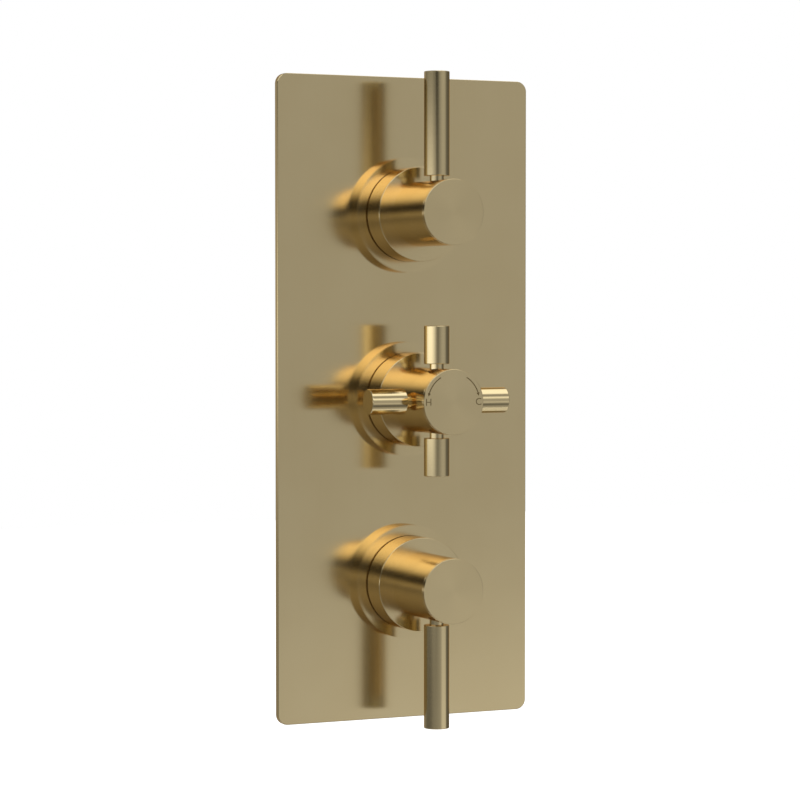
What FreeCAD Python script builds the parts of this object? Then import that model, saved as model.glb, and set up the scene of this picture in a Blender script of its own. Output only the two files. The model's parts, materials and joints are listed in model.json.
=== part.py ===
import FreeCAD, Part

import math
import os

# A concealed thermostatic shower valve. One faceplate carries three knobs: a
# quarter-turn lever at the top, a cross handle for the temperature in the
# middle and a quarter-turn lever at the bottom. The valve bodies stand behind
# it, in the wall.
#
# Axes: +X right, +Y into the wall, +Z up, in millimetres. The origin is the
# centre of the faceplate's back. A depth is measured out of the wall towards
# the room, so y = -depth. An angle turns anticlockwise as the user sees it,
# from 0 at the right. A reach is a distance out from a knob's own axis.

V = FreeCAD.Vector
ORIGIN = V(0, 0, 0)
ROOM = V(0, -1, 0)
RIGHT, UP, LEFT, DOWN = 0, 90, 180, 270
FLATS_TO_WALL = 30

# ---- Driving dimensions -------------------------------------------------

# Clearances
thread_clearance = 0.05
running_clearance = 0.05
seal_clearance = 0.03
lapped_gap = 0.02
key_clearance = 0.2

# How far a piece of one solid runs into another so that they join, and how far
# a cut runs past a surface
root = 1.0
overshoot = 1.0

# Faceplate, gasket and stations of the three knobs
plate_width = 132.0
plate_height = 310.0
plate_thickness = 3.0
plate_corner_radius = 5.0
plate_edge_break = 0.3
plate_hole_clearance = 0.4
pocket_depth = 1.2
pocket_rim = 3.0
gasket_width = 9.0
gasket_clearance = 0.2
station_pitch = 88.5

# Collars and the threaded sleeves that carry them
collar_radius = 27.5
collar_thickness = 5.9
collar_edge_break = 0.4
sleeve_radius = 20.0
sleeve_bore_radius = 17.0
sleeve_setback = 0.6
collar_seal_section = 0.95

# Knobs: flange, barrel and cap
collar_gap = 0.6
flange_radius = 22.5
flange_length = 13.9
flange_wall = 3.0
flange_front_wall = 2.4
knob_edge_break = 0.3
barrel_radius = 15.4
barrel_wall = 3.0
barrel_reach = 48.8
cap_thickness = 1.6
cap_spigot_length = 3.0
cap_fit = 0.1
seam_break = 0.15
web_thickness = 12.0
hub_radius = 9.0
hub_setback = 2.0

# Rod levers and cross spokes
rod_depth = 39.7
rod_radius = 6.0
rod_edge_break = 0.4
neck_radius = 3.3
neck_seat = 0.6
rod_start = 17.5
lever_reach = 66.5
spoke_reach = 35.5
stud_radius = 2.5
stud_length = 7.4
stud_hole_spare = 0.5

# Handle screw
screw_radius = 2.0
screw_hole_clearance = 0.2
screw_length = 32.0
screw_head_radius = 3.5
screw_head_height = 4.0
screw_socket_flats = 3.0
screw_socket_depth = 2.0
screw_hole_spare = 2.0

# Spindles and splined adaptors
spline_teeth = 20
journal_radius = 5.0
journal_front = 11.0
spindle_front = 24.0
spindle_spline_tip = 4.0
spindle_spline_root = 3.6
adaptor_spline_tip = 6.5
adaptor_spline_root = 6.0
spline_clearance = 0.05
adaptor_tip_gap = 0.1

# Necks of the valve bodies, which the sleeves and cartridges screw into
neck_front = -10.0
shoulder_depth = -17.0
body_rear = -68.0
flow_body_radius = 18.5
thermostatic_body_radius = 20.0

# Flow cartridges
head_flats = 24.0
head_thickness = 6.0
nose_radius = 8.0
nose_length = 6.0
cartridge_thread_radius = 11.0
cartridge_thread_length = 12.0
cartridge_seal_land = 5.0
cartridge_seal_groove = 9.4
cartridge_barrel_radius = 9.0
disc_chamber_radius = 7.6
disc_chamber_front = -28.0
seat_depth = -46.0
disc_radius = 7.4
disc_thickness = 3.0
seat_seal_thickness = 1.8
seat_seal_outer = 7.0
seat_seal_inner = 5.0
port_inner_radius = 2.2
port_outer_radius = 6.4
port_span = 76.0
disc_tab_width = 2.0
disc_tab_reach = 8.3
drive_flange_radius = 7.2
drive_flange_thickness = 3.0
drive_blade_width = 3.0
drive_blade_length = 10.0
drive_slot_depth = 1.2
window_width = 10.0
window_margin = 0.4
housing_end_gap = 0.5
lever_travel = 90.0
lever_stop_margin = 1.0
lever_stop_span = 38.0
lever_stop_inner = 5.8
lever_stop_angle = UP

# Thermostatic cartridge
thermostat_bore = 14.5
thermostat_bore_floor = -47.0
mixed_chamber_radius = 11.5
mixed_chamber_floor = -62.0
nut_head_flats = 27.0
nut_head_thickness = 5.0
nut_thread_length = 6.0
thermostat_neck_radius = 9.0
thermostat_neck_front = -1.0
index_spline_root = 8.5
index_spline_length = 4.0
index_spline_teeth = 24
thermostat_front_wall = 2.0
thermostat_inner_radius = 11.0
thermostat_tail_radius = 11.4
thermostat_tail_bore = 9.0
thermostat_tail_length = 5.0
gallery_radius = 12.6
gallery_width = 5.0
hot_gallery_depth = -26.0
cold_gallery_depth = -36.5
gallery_holes = 8
gallery_hole_radius = 1.8
thermostat_groove_radius = 12.6
thermostat_groove_width = 2.5
front_groove_depth = -20.0
rear_groove_depth = -42.5
temperature_lead = 2.0
temperature_travel = 135.0
temperature_stop_margin = 1.0
spindle_thrust_radius = 7.0
spindle_thrust_thickness = 1.5
drive_stud_radius = 3.5
drive_stud_length = 6.5
regulator_front = -20.5
regulator_hub_radius = 5.5
regulator_hub_length = 7.4
regulator_floor = 0.9
regulator_ear_reach = 12.0
regulator_ear_width = 4.0
regulator_ear_thickness = 1.8
overload_spring_length = 4.0
overload_spring_radius = 4.2
overload_spring_wire = 0.4
overload_spring_turns = 3
capsule_flange_radius = 6.2
capsule_flange_thickness = 1.5
capsule_radius = 5.0
capsule_length = 18.5
capsule_pin_radius = 1.5
shuttle_wall = 1.7
shuttle_holes = 6
shuttle_hole_radius = 1.3
return_spring_radius = 10.0
return_spring_wire = 0.5
return_spring_turns = 3
return_spring_seat = -44.0

# Temperature stop ring and the lug that meets it
stop_ring_outer = 16.0
stop_ring_inner = 13.2
stop_ring_base_front = 1.0
stop_lug_front = 6.0
stop_lug_thickness = 3.0
stop_lug_inner = 9.6
adaptor_skirt_radius = 9.0
adaptor_lug_reach = 12.7

# Spindle O-rings
spindle_groove_radius = 6.6
spindle_groove_width = 1.9
spindle_groove_from_front = 4.0

# Inlets, with their check valves and filters
pipe_thread_minor_radius = 9.3155
inlet_boss_radius = 13.0
inlet_end = 46.0
inlet_thread_length = 12.0
inlet_passage_width = 4.6
inlet_passage_height = 8.0
check_bore_radius = 7.6
check_bore_start = 21.0
check_radius = 7.5
check_inner_radius = 6.2
check_length = 11.3
check_setback = 0.2
check_seat_thickness = 2.0
check_seat_radius = 4.2
check_guide_distance = 1.6
check_guide_thickness = 2.0
check_guide_hub = 2.4
check_guide_bore = 1.25
check_guide_ports = 3
check_guide_rim = 0.3
check_travel = 2.0
poppet_radius = 5.2
poppet_thickness = 1.7
poppet_stem_radius = 1.2
check_spring_radius = 1.9
check_spring_wire = 0.25
check_spring_turns = 3
filter_thickness = 1.3
filter_rim = 1.2
filter_web = 0.6
filter_hole_radius = 0.55
filter_hole_pitch = 1.6

# Outlets
outlet_depth = -35.0
outlet_boss_radius = 13.0
outlet_end = 42.0
outlet_thread_length = 15.0
outlet_passage_radius = 6.0

# Link tubes between the bodies
feed_depth = -54.5
feed_passage_radius = 6.0
seat_port_radius = 5.0
tube_radius = 7.5
tube_wall = 0.9
tube_end_gap = 0.5
stub_radius = 10.5
stub_length = 8.0
socket_depth = 8.0
nut_flats = 24.0
nut_engagement = 7.4
nut_overhang = 4.5
olive_radius = 9.8
olive_length = 2.4
olive_spare = 0.1

# Wall fixing ears
ear_hole_spacing = 54.0
ear_hole_radius = 3.0
ear_radius = 9.0
ear_thickness = 6.0

# ---- Derived places -----------------------------------------------------

station = {"upper": station_pitch, "temperature": 0.0, "lower": -station_pitch}
flow_stations = ("upper", "lower")

collar_front = plate_thickness + collar_thickness
sleeve_front = collar_front - sleeve_setback
knob_back = collar_front + collar_gap
flange_front = knob_back + flange_length
knob_face = knob_back + barrel_reach
barrel_front = knob_face - cap_thickness
web_back = rod_depth - web_thickness / 2
web_front = rod_depth + web_thickness / 2
hub_back = knob_back + hub_setback
adaptor_front = web_back - adaptor_tip_gap
recess_radius = barrel_radius - barrel_wall

seal_front = seat_depth + seat_seal_thickness
fixed_disc_front = seal_front + disc_thickness
moving_disc_back = fixed_disc_front + lapped_gap
moving_disc_front = moving_disc_back + disc_thickness
drive_flange_front = disc_chamber_front - running_clearance
drive_flange_back = drive_flange_front - drive_flange_thickness

cartridge_seal_back = neck_front - cartridge_thread_length - cartridge_seal_land
head_front = neck_front + head_thickness
cartridge_nose_front = head_front + nose_length

inlet_depth = (hot_gallery_depth + cold_gallery_depth) / 2
groove_depths = (front_groove_depth, inlet_depth, rear_groove_depth)
thermostat_front = neck_front - nut_thread_length
thermostat_chamber_front = thermostat_front - thermostat_front_wall
thermostat_tail_end = thermostat_bore_floor - thermostat_tail_length
regulator_back = regulator_front - regulator_hub_length
capsule_front = regulator_back - overload_spring_length
capsule_seat = capsule_front - capsule_flange_thickness
temperature_half_travel = temperature_lead * temperature_travel / 360
stop_lug_span = 180 - temperature_travel - temperature_stop_margin

# ---- Shape helpers ------------------------------------------------------


def face_of(points):
    return Part.Face(Part.makePolygon(points + points[:1]))


def turned(outline):
    """Solid turned about the knob axis, from (depth, radius) points."""
    face = face_of([V(radius, -depth, 0) for depth, radius in outline])
    return face.revolve(ORIGIN, ROOM, 360)


def tube(back, front, inner, outer):
    return turned([(back, inner), (front, inner), (front, outer), (back, outer)])


def rod(back, front, radius):
    return tube(back, front, 0, radius)


def radial(outline, depth, angle):
    """Solid turned about a line out from the knob axis, from (reach, radius) points."""
    face = face_of([V(reach, -depth, radius) for reach, radius in outline])
    solid = face.revolve(V(0, -depth, 0), V(1, 0, 0), 360)
    return at_angle(solid, angle)


def radial_rod(start, end, radius, depth, angle):
    return radial([(start, 0), (end, 0), (end, radius), (start, radius)], depth, angle)


def radial_tube(start, end, inner, outer, depth, angle):
    corners = [(start, inner), (end, inner), (end, outer), (start, outer)]
    return radial(corners, depth, angle)


def block(width, height, back, front, centre_x=0.0, centre_z=0.0):
    corner = V(centre_x - width / 2, -front, centre_z - height / 2)
    return Part.makeBox(width, front - back, height, corner)


def prism(points, back, front):
    """Solid between two depths, from the (x, z) points of its section."""
    face = face_of([V(x, -back, z) for x, z in points])
    return face.extrude(V(0, back - front, 0))


def hexagon_points(across_flats):
    corner = across_flats / 2 / math.cos(math.radians(30))
    angles = [math.radians(60 * k) for k in range(6)]
    return [(corner * math.cos(a), corner * math.sin(a)) for a in angles]


def hexagon(across_flats, back, front):
    return prism(hexagon_points(across_flats), back, front)


def spline_prism(tip, valley, teeth, back, front):
    """Toothed prism, from the radii of its tips and of its valleys."""
    points = []
    pitch = 2 * math.pi / teeth
    flanks = ((-0.35, valley), (-0.15, tip), (0.15, tip), (0.35, valley))
    for tooth in range(teeth):
        for share, radius in flanks:
            angle = (tooth + share) * pitch
            points.append((radius * math.cos(angle), radius * math.sin(angle)))
    return prism(points, back, front)


def sector(inner, outer, back, front, centre, span):
    corners = [(back, inner), (front, inner), (front, outer), (back, outer)]
    face = face_of([V(radius, -depth, 0) for depth, radius in corners])
    return at_angle(face.revolve(ORIGIN, ROOM, span), centre - span / 2)


def at_angle(solid, angle):
    turned_solid = solid.copy()
    turned_solid.rotate(ORIGIN, ROOM, angle)
    return turned_solid


def at_station(solid, name):
    return solid.translated(V(0, 0, station[name]))


def o_ring(depth, inner, outer):
    """Ring of round section that fills a gland, less the seal clearance."""
    section = (outer - inner) / 2 - seal_clearance
    return Part.makeTorus((outer + inner) / 2, section, V(0, -depth, 0), ROOM)


def join(*solids):
    joined = solids[0]
    for solid in solids[1:]:
        joined = joined.fuse(solid)
    return joined.removeSplitter()


def coil(mean_radius, wire, turns, length):
    """Spring of round wire along +Z from the origin. Each half turn is half a ring,
    tilted so that its ends run on into the next."""
    first = wire + lapped_gap
    rise = (length - 2 * first) / (2 * turns)
    half_rings = []
    for k in range(2 * turns):
        side = 1 if k % 2 == 0 else -1
        start = V(side * mean_radius, 0, first + k * rise)
        centre = V(0, 0, first + (k + 0.5) * rise)
        axis = (start - centre).cross(V(0, side, 0))
        disc = Part.Face(Part.Wire(Part.makeCircle(wire, start, V(0, 1, 0))))
        half_rings.append(disc.revolve(centre, axis, 180))
    return join(*half_rings)


def axial_coil(mean_radius, wire, turns, back, front):
    """The same spring along the knob axis."""
    spring = coil(mean_radius, wire, turns, front - back)
    spring.rotate(ORIGIN, V(1, 0, 0), 90)
    return spring.translated(V(0, -back, 0))


# ---- Faceplate, gasket, collars and sleeves -----------------------------


def rounded_slab(width, height, back, front, corner):
    slab = block(width, height, back, front)
    corners = [
        edge
        for edge in slab.Edges
        if abs(edge.Vertexes[0].Y - edge.Vertexes[1].Y) > (front - back) / 2
    ]
    return slab.makeFillet(corner, corners)


def faceplate():
    plate = rounded_slab(plate_width, plate_height, 0, plate_thickness, plate_corner_radius)
    front_edges = [
        edge
        for edge in plate.Edges
        if all(abs(v.Y + plate_thickness) < 1e-6 for v in edge.Vertexes)
    ]
    plate = plate.makeChamfer(plate_edge_break, front_edges)
    pocket = rounded_slab(
        plate_width - 2 * pocket_rim,
        plate_height - 2 * pocket_rim,
        0,
        pocket_depth,
        plate_corner_radius - pocket_rim,
    )
    plate = plate.cut(pocket)
    for name in station:
        hole = rod(0, plate_thickness, sleeve_radius + plate_hole_clearance)
        plate = plate.cut(at_station(hole, name))
    return plate


def plate_gasket():
    inset = pocket_rim + gasket_clearance
    corner = plate_corner_radius - inset
    width, height = plate_width - 2 * inset, plate_height - 2 * inset
    outside = rounded_slab(width, height, 0, pocket_depth, corner)
    inside = rounded_slab(
        width - 2 * gasket_width, height - 2 * gasket_width, 0, pocket_depth, corner
    )
    return outside.cut(inside)


def collar():
    """Disc screwed on the sleeve against the faceplate, with a seal groove at its back."""
    bore = sleeve_radius + thread_clearance
    outline = [
        (plate_thickness, bore),
        (collar_front, bore),
        (collar_front, collar_radius - collar_edge_break),
        (collar_front - collar_edge_break, collar_radius),
        (plate_thickness, collar_radius),
    ]
    groove = tube(
        plate_thickness,
        plate_thickness + 2 * collar_seal_section,
        bore,
        sleeve_radius + 2 * collar_seal_section,
    )
    return turned(outline).cut(groove)


def collar_o_ring():
    outer = sleeve_radius + 2 * collar_seal_section
    return o_ring(plate_thickness + collar_seal_section, sleeve_radius, outer)


def sleeve():
    bore = sleeve_bore_radius + thread_clearance
    return tube(shoulder_depth, sleeve_front, bore, sleeve_radius)


# ---- Knobs, caps, levers and spokes -------------------------------------


def knob(stud_angles):
    """Flange and barrel in one, open at the back, with a web that holds the studs."""
    solid = turned(
        [
            (knob_back, 0),
            (knob_back, flange_radius - knob_edge_break),
            (knob_back + knob_edge_break, flange_radius),
            (flange_front - knob_edge_break, flange_radius),
            (flange_front, flange_radius - knob_edge_break),
            (flange_front, barrel_radius),
            (barrel_front - seam_break, barrel_radius),
            (barrel_front, barrel_radius - seam_break),
            (barrel_front, 0),
        ]
    )
    flange_floor = flange_front - flange_front_wall
    rear_cavity = turned(
        [
            (knob_back, 0),
            (knob_back, flange_radius - flange_wall),
            (flange_floor, flange_radius - flange_wall),
            (flange_floor, recess_radius),
            (web_back, recess_radius),
            (web_back, hub_radius),
            (hub_back, hub_radius),
            (hub_back, 0),
        ]
    )
    socket = spline_prism(
        adaptor_spline_tip + spline_clearance,
        adaptor_spline_root + spline_clearance,
        spline_teeth,
        hub_back,
        web_back,
    )
    solid = solid.cut(rear_cavity).cut(socket)
    solid = solid.cut(rod(web_back, web_front, screw_radius + screw_hole_clearance))
    solid = solid.cut(rod(web_front, barrel_front, recess_radius))
    seat_reach = barrel_radius - neck_seat
    stud_end = seat_reach - stud_length - stud_hole_spare
    for angle in stud_angles:
        seat_radius = neck_radius + running_clearance
        solid = solid.cut(radial_rod(seat_reach, rod_start, seat_radius, rod_depth, angle))
        hole_radius = stud_radius + thread_clearance
        solid = solid.cut(radial_rod(stud_end, rod_start, hole_radius, rod_depth, angle))
    return solid


def cap():
    spigot = recess_radius - cap_fit
    return turned(
        [
            (barrel_front - cap_spigot_length, 0),
            (barrel_front - cap_spigot_length, spigot),
            (barrel_front, spigot),
            (barrel_front, barrel_radius - seam_break),
            (barrel_front + seam_break, barrel_radius),
            (knob_face - knob_edge_break, barrel_radius),
            (knob_face, barrel_radius - knob_edge_break),
            (knob_face, 0),
        ]
    )


def handle_rod(end, angle):
    """Rod with a thinner neck and the stud that screws into a knob's web."""
    seat_reach = barrel_radius - neck_seat
    outline = [
        (seat_reach - stud_length, 0),
        (seat_reach - stud_length, stud_radius),
        (seat_reach, stud_radius),
        (seat_reach, neck_radius),
        (rod_start, neck_radius),
        (rod_start, rod_radius - rod_edge_break),
        (rod_start + rod_edge_break, rod_radius),
        (end - rod_edge_break, rod_radius),
        (end, rod_radius - rod_edge_break),
        (end, 0),
    ]
    return radial(outline, rod_depth, angle)


def cross_spokes():
    return [handle_rod(spoke_reach, angle) for angle in (RIGHT, UP, LEFT, DOWN)]


def handle_screw():
    head_top = web_front + screw_head_height
    screw = join(
        rod(web_front - screw_length, web_front, screw_radius),
        rod(web_front, head_top, screw_head_radius),
    )
    return screw.cut(hexagon(screw_socket_flats, head_top - screw_socket_depth, head_top))


# ---- Spindles and adaptors ----------------------------------------------


def adaptor():
    """Splined bush between the spindle's tip and the knob's hub."""
    bush = spline_prism(
        adaptor_spline_tip, adaptor_spline_root, spline_teeth, journal_front, adaptor_front
    )
    return bush.cut(adaptor_bore())


def adaptor_bore():
    socket = spline_prism(
        spindle_spline_tip + spline_clearance,
        spindle_spline_root + spline_clearance,
        spline_teeth,
        journal_front,
        spindle_front + adaptor_tip_gap,
    )
    return join(socket, rod(journal_front, adaptor_front, screw_radius + screw_hole_clearance))


def temperature_adaptor():
    """The same bush with a skirt and the lug that meets the stop ring."""
    lug_back = stop_lug_front - stop_lug_thickness
    skirt = tube(
        lug_back, journal_front, journal_radius + running_clearance, adaptor_skirt_radius
    )
    lug = sector(
        adaptor_skirt_radius - root,
        adaptor_lug_reach,
        lug_back,
        stop_lug_front,
        UP,
        stop_lug_span,
    )
    return join(adaptor(), skirt, lug)


def spindle_top(journal_back):
    """Journal, splined tip and the tapped hole for the handle screw."""
    journal = rod(journal_back, journal_front, journal_radius)
    tip = spline_prism(
        spindle_spline_tip, spindle_spline_root, spline_teeth, journal_front, spindle_front
    )
    hole_floor = web_front - screw_length - screw_hole_spare
    hole = rod(hole_floor, spindle_front, screw_radius + thread_clearance)
    return join(journal, tip).cut(hole)


# ---- Flow cartridges -----------------------------------------------------


def drive_blade(clearance, back):
    width = drive_blade_width + 2 * clearance
    length = drive_blade_length + 2 * clearance
    return block(length, width, back, drive_flange_back)


def flow_spindle():
    """Spindle whose notched flange turns on a stop and whose blade drives the disc."""
    flange = rod(drive_flange_back, drive_flange_front, drive_flange_radius)
    notch_span = lever_stop_span + lever_travel + 2 * lever_stop_margin
    notch_start = lever_stop_angle - lever_stop_span / 2 - lever_stop_margin - lever_travel
    notch = sector(
        lever_stop_inner - key_clearance,
        disc_chamber_radius,
        drive_flange_back,
        drive_flange_front,
        notch_start + notch_span / 2,
        notch_span,
    )
    blade_back = moving_disc_front - drive_slot_depth + lapped_gap
    blade = drive_blade(0, blade_back)
    return join(spindle_top(drive_flange_front), flange.cut(notch), blade)


def ports(back, front, centre):
    """Two opposite ports, at the angle centre and across from it."""
    return [
        sector(port_inner_radius, port_outer_radius, back, front, angle, port_span)
        for angle in (centre, centre + 180)
    ]


def fixed_disc():
    disc = rod(seal_front, fixed_disc_front, disc_radius)
    for side in (1, -1):
        tab = block(
            disc_tab_width,
            disc_tab_reach - disc_radius + root,
            seal_front,
            fixed_disc_front,
            centre_z=side * (disc_tab_reach + disc_radius - root) / 2,
        )
        disc = disc.fuse(tab)
    return join(disc).cut(ports(seal_front, fixed_disc_front, RIGHT))


def moving_disc():
    disc = rod(moving_disc_back, moving_disc_front, disc_radius)
    slot = drive_blade(key_clearance, moving_disc_front - drive_slot_depth)
    return disc.cut(ports(moving_disc_back, moving_disc_front, UP)).cut(slot)


def seat_seal():
    return tube(seat_depth, seal_front, seat_seal_inner, seat_seal_outer)


def flow_housing():
    housing_end = seat_depth + housing_end_gap
    seal_land_front = neck_front - cartridge_thread_length
    outside = turned(
        [
            (housing_end, 0),
            (housing_end, cartridge_barrel_radius),
            (cartridge_seal_back, cartridge_barrel_radius),
            (cartridge_seal_back, cartridge_thread_radius),
            (neck_front, cartridge_thread_radius),
            (head_front, cartridge_thread_radius),
            (head_front, nose_radius),
            (cartridge_nose_front, nose_radius),
            (cartridge_nose_front, 0),
        ]
    )
    solid = outside.fuse(hexagon(head_flats, neck_front, head_front))
    groove_width = 2 * (cartridge_thread_radius - cartridge_seal_groove)
    groove_centre = (seal_land_front + cartridge_seal_back) / 2
    groove = tube(
        groove_centre - groove_width / 2,
        groove_centre + groove_width / 2,
        cartridge_seal_groove,
        cartridge_thread_radius + overshoot,
    )
    solid = solid.cut(groove)
    bore = rod(housing_end, cartridge_nose_front, journal_radius + running_clearance)
    solid = solid.cut(bore).cut(rod(housing_end, disc_chamber_front, disc_chamber_radius))
    solid = solid.cut(spindle_groove(cartridge_nose_front))
    window_back = moving_disc_back + window_margin
    window_front = drive_flange_back - window_margin
    window = block(3 * cartridge_barrel_radius, window_width, window_back, window_front)
    solid = solid.cut(window)
    key_slot = block(
        disc_tab_width + 2 * key_clearance,
        2 * (disc_tab_reach + key_clearance),
        housing_end,
        fixed_disc_front,
    )
    stop = sector(
        lever_stop_inner,
        disc_chamber_radius + root,
        drive_flange_back,
        disc_chamber_front + root,
        lever_stop_angle,
        lever_stop_span,
    )
    return join(solid.cut(key_slot), stop)


def cartridge_o_ring():
    land_front = neck_front - cartridge_thread_length
    centre = (land_front + cartridge_seal_back) / 2
    return o_ring(centre, cartridge_seal_groove, cartridge_thread_radius + thread_clearance)


def spindle_groove(nose_front):
    centre = nose_front - spindle_groove_from_front
    half = spindle_groove_width / 2
    return tube(centre - half, centre + half, journal_radius, spindle_groove_radius)


def spindle_o_ring(nose_front):
    return o_ring(nose_front - spindle_groove_from_front, journal_radius, spindle_groove_radius)


# ---- Thermostatic cartridge ----------------------------------------------


def temperature_spindle():
    """Spindle with a thrust collar and the screwed stud that moves the regulator nut."""
    collar_top = thermostat_chamber_front - running_clearance
    collar_bottom = collar_top - spindle_thrust_thickness
    return join(
        spindle_top(collar_top),
        rod(collar_bottom, collar_top, spindle_thrust_radius),
        rod(collar_bottom - drive_stud_length, collar_bottom, drive_stud_radius),
    )


def regulator_nut():
    """Nut that slides without turning: its two ears run in slots of the housing."""
    hub = rod(regulator_back, regulator_front, regulator_hub_radius)
    ear_back = regulator_front - regulator_ear_thickness
    ears = block(2 * regulator_ear_reach, regulator_ear_width, ear_back, regulator_front)
    thread = rod(
        regulator_back + regulator_floor, regulator_front, drive_stud_radius + thread_clearance
    )
    return join(hub, ears).cut(thread)


def overload_spring():
    return axial_coil(
        overload_spring_radius,
        overload_spring_wire,
        overload_spring_turns,
        capsule_front,
        regulator_back,
    )


def wax_capsule():
    return turned(
        [
            (capsule_front - capsule_length, 0),
            (capsule_front - capsule_length, capsule_radius),
            (capsule_seat, capsule_radius),
            (capsule_seat, capsule_flange_radius),
            (capsule_front, capsule_flange_radius),
            (capsule_front, capsule_pin_radius),
            (regulator_back - lapped_gap, capsule_pin_radius),
            (regulator_back - lapped_gap, 0),
        ]
    )


def mixing_shuttle():
    """Ring between the hot and cold holes, with a drilled web that holds the capsule."""
    outer = thermostat_inner_radius - running_clearance
    inner = outer - shuttle_wall
    ring = tube(cold_gallery_depth, hot_gallery_depth, inner, outer)
    web = tube(
        cold_gallery_depth,
        capsule_seat,
        capsule_radius + thread_clearance,
        inner + shuttle_wall / 2,
    )
    solid = join(ring, web)
    hole_reach = (capsule_radius + inner) / 2
    for k in range(shuttle_holes):
        hole = rod(cold_gallery_depth, capsule_seat, shuttle_hole_radius)
        hole = at_angle(hole.translated(V(hole_reach, 0, 0)), 360 / shuttle_holes * k)
        solid = solid.cut(hole)
    return solid


def return_spring():
    return axial_coil(
        return_spring_radius,
        return_spring_wire,
        return_spring_turns,
        return_spring_seat,
        cold_gallery_depth,
    )


def thermostat_housing():
    outer = thermostat_bore - running_clearance
    solid = turned(
        [
            (thermostat_tail_end, 0),
            (thermostat_tail_end, thermostat_tail_radius),
            (thermostat_bore_floor, thermostat_tail_radius),
            (thermostat_bore_floor, outer),
            (thermostat_front, outer),
            (thermostat_front, thermostat_neck_radius),
            (thermostat_neck_front - index_spline_length, thermostat_neck_radius),
            (thermostat_neck_front - index_spline_length, 0),
        ]
    )
    index = spline_prism(
        thermostat_neck_radius,
        index_spline_root,
        index_spline_teeth,
        thermostat_neck_front - index_spline_length,
        thermostat_neck_front,
    )
    solid = join(solid, index)
    chamber = turned(
        [
            (thermostat_tail_end, 0),
            (thermostat_tail_end, thermostat_tail_bore),
            (return_spring_seat, thermostat_tail_bore),
            (return_spring_seat, thermostat_inner_radius),
            (thermostat_chamber_front, thermostat_inner_radius),
            (thermostat_chamber_front, 0),
        ]
    )
    solid = solid.cut(chamber)
    bore = rod(thermostat_tail_end, thermostat_neck_front, journal_radius + running_clearance)
    solid = solid.cut(bore).cut(spindle_groove(thermostat_neck_front))
    ear_slot_back = (
        regulator_front - regulator_ear_thickness - temperature_half_travel - key_clearance
    )
    ear_slots = block(
        2 * (regulator_ear_reach + key_clearance),
        regulator_ear_width + 2 * key_clearance,
        ear_slot_back,
        thermostat_chamber_front,
    )
    solid = solid.cut(ear_slots)
    for depth in (hot_gallery_depth, cold_gallery_depth):
        half = gallery_width / 2
        solid = solid.cut(tube(depth - half, depth + half, gallery_radius, outer + overshoot))
        for k in range(gallery_holes):
            angle = 360 / gallery_holes * (k + 0.5)
            hole = radial_rod(
                thermostat_inner_radius - overshoot, outer, gallery_hole_radius, depth, angle
            )
            solid = solid.cut(hole)
    for depth in groove_depths:
        half = thermostat_groove_width / 2
        groove = tube(depth - half, depth + half, thermostat_groove_radius, outer + overshoot)
        solid = solid.cut(groove)
    return solid


def thermostat_o_rings():
    return [
        o_ring(depth, thermostat_groove_radius, thermostat_bore) for depth in groove_depths
    ]


def thermostat_retaining_nut():
    head_top = neck_front + nut_head_thickness
    ring = join(
        hexagon(nut_head_flats, neck_front, head_top),
        rod(thermostat_front, neck_front, thermostat_bore - thread_clearance),
    )
    bore = rod(thermostat_front, head_top, thermostat_neck_radius + running_clearance)
    return ring.cut(bore)


def temperature_stop_ring():
    """Ring indexed on the housing's splined neck, with the lug that stops the knob."""
    base_back = neck_front + nut_head_thickness
    ring = join(
        rod(base_back, stop_ring_base_front, stop_ring_outer),
        rod(base_back, stop_lug_front, stop_ring_outer),
    )
    ring = ring.cut(rod(stop_ring_base_front, stop_lug_front, stop_ring_inner))
    index = spline_prism(
        thermostat_neck_radius + spline_clearance,
        index_spline_root + spline_clearance,
        index_spline_teeth,
        base_back,
        stop_ring_base_front,
    )
    lug = sector(
        stop_lug_inner,
        stop_ring_inner + root,
        stop_ring_base_front,
        stop_lug_front,
        DOWN,
        stop_lug_span,
    )
    return join(ring.cut(index), lug)


# ---- Valve bodies ----------------------------------------------------------


def tube_stub(body_radius, angle):
    """Threaded stub that a link tube enters, as (material, hollow)."""
    stub_end = body_radius + stub_length
    material = radial_rod(0, stub_end, stub_radius, feed_depth, angle)
    socket = radial_rod(
        stub_end - socket_depth, stub_end, tube_radius + thread_clearance, feed_depth, angle
    )
    passage = radial_rod(0, stub_end, feed_passage_radius, feed_depth, angle)
    return material, socket.fuse(passage)


def boss_and_neck(body_radius):
    return join(
        rod(body_rear, shoulder_depth, body_radius),
        rod(shoulder_depth, neck_front, sleeve_bore_radius),
    )


def ears():
    span = ear_hole_spacing
    back, front = body_rear, body_rear + ear_thickness
    bar = block(span, 2 * ear_radius, back, front)
    for side in (1, -1):
        end = rod(back, front, ear_radius).translated(V(side * span / 2, 0, 0))
        bar = bar.fuse(end)
    return bar


def ear_holes():
    back, front = body_rear, body_rear + ear_thickness
    return [
        rod(back, front, ear_hole_radius).translated(V(side * ear_hole_spacing / 2, 0, 0))
        for side in (1, -1)
    ]


def flow_body(outlet_angle):
    """Body of one flow cartridge: fed from one side and tapped at the other."""
    stub, feed = tube_stub(flow_body_radius, outlet_angle + 180)
    outlet = radial_rod(0, outlet_end, outlet_boss_radius, outlet_depth, outlet_angle)
    body = join(boss_and_neck(flow_body_radius), stub, outlet, ears())
    thread_start = outlet_end - outlet_thread_length
    cuts = ear_holes() + [
        feed,
        rod(seat_depth, neck_front, cartridge_thread_radius + thread_clearance),
        rod(feed_depth, seat_depth, seat_port_radius),
        radial_rod(0, outlet_end, outlet_passage_radius, outlet_depth, outlet_angle),
        radial_rod(
            thread_start, outlet_end, pipe_thread_minor_radius, outlet_depth, outlet_angle
        ),
    ]
    return body.cut(cuts)


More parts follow.
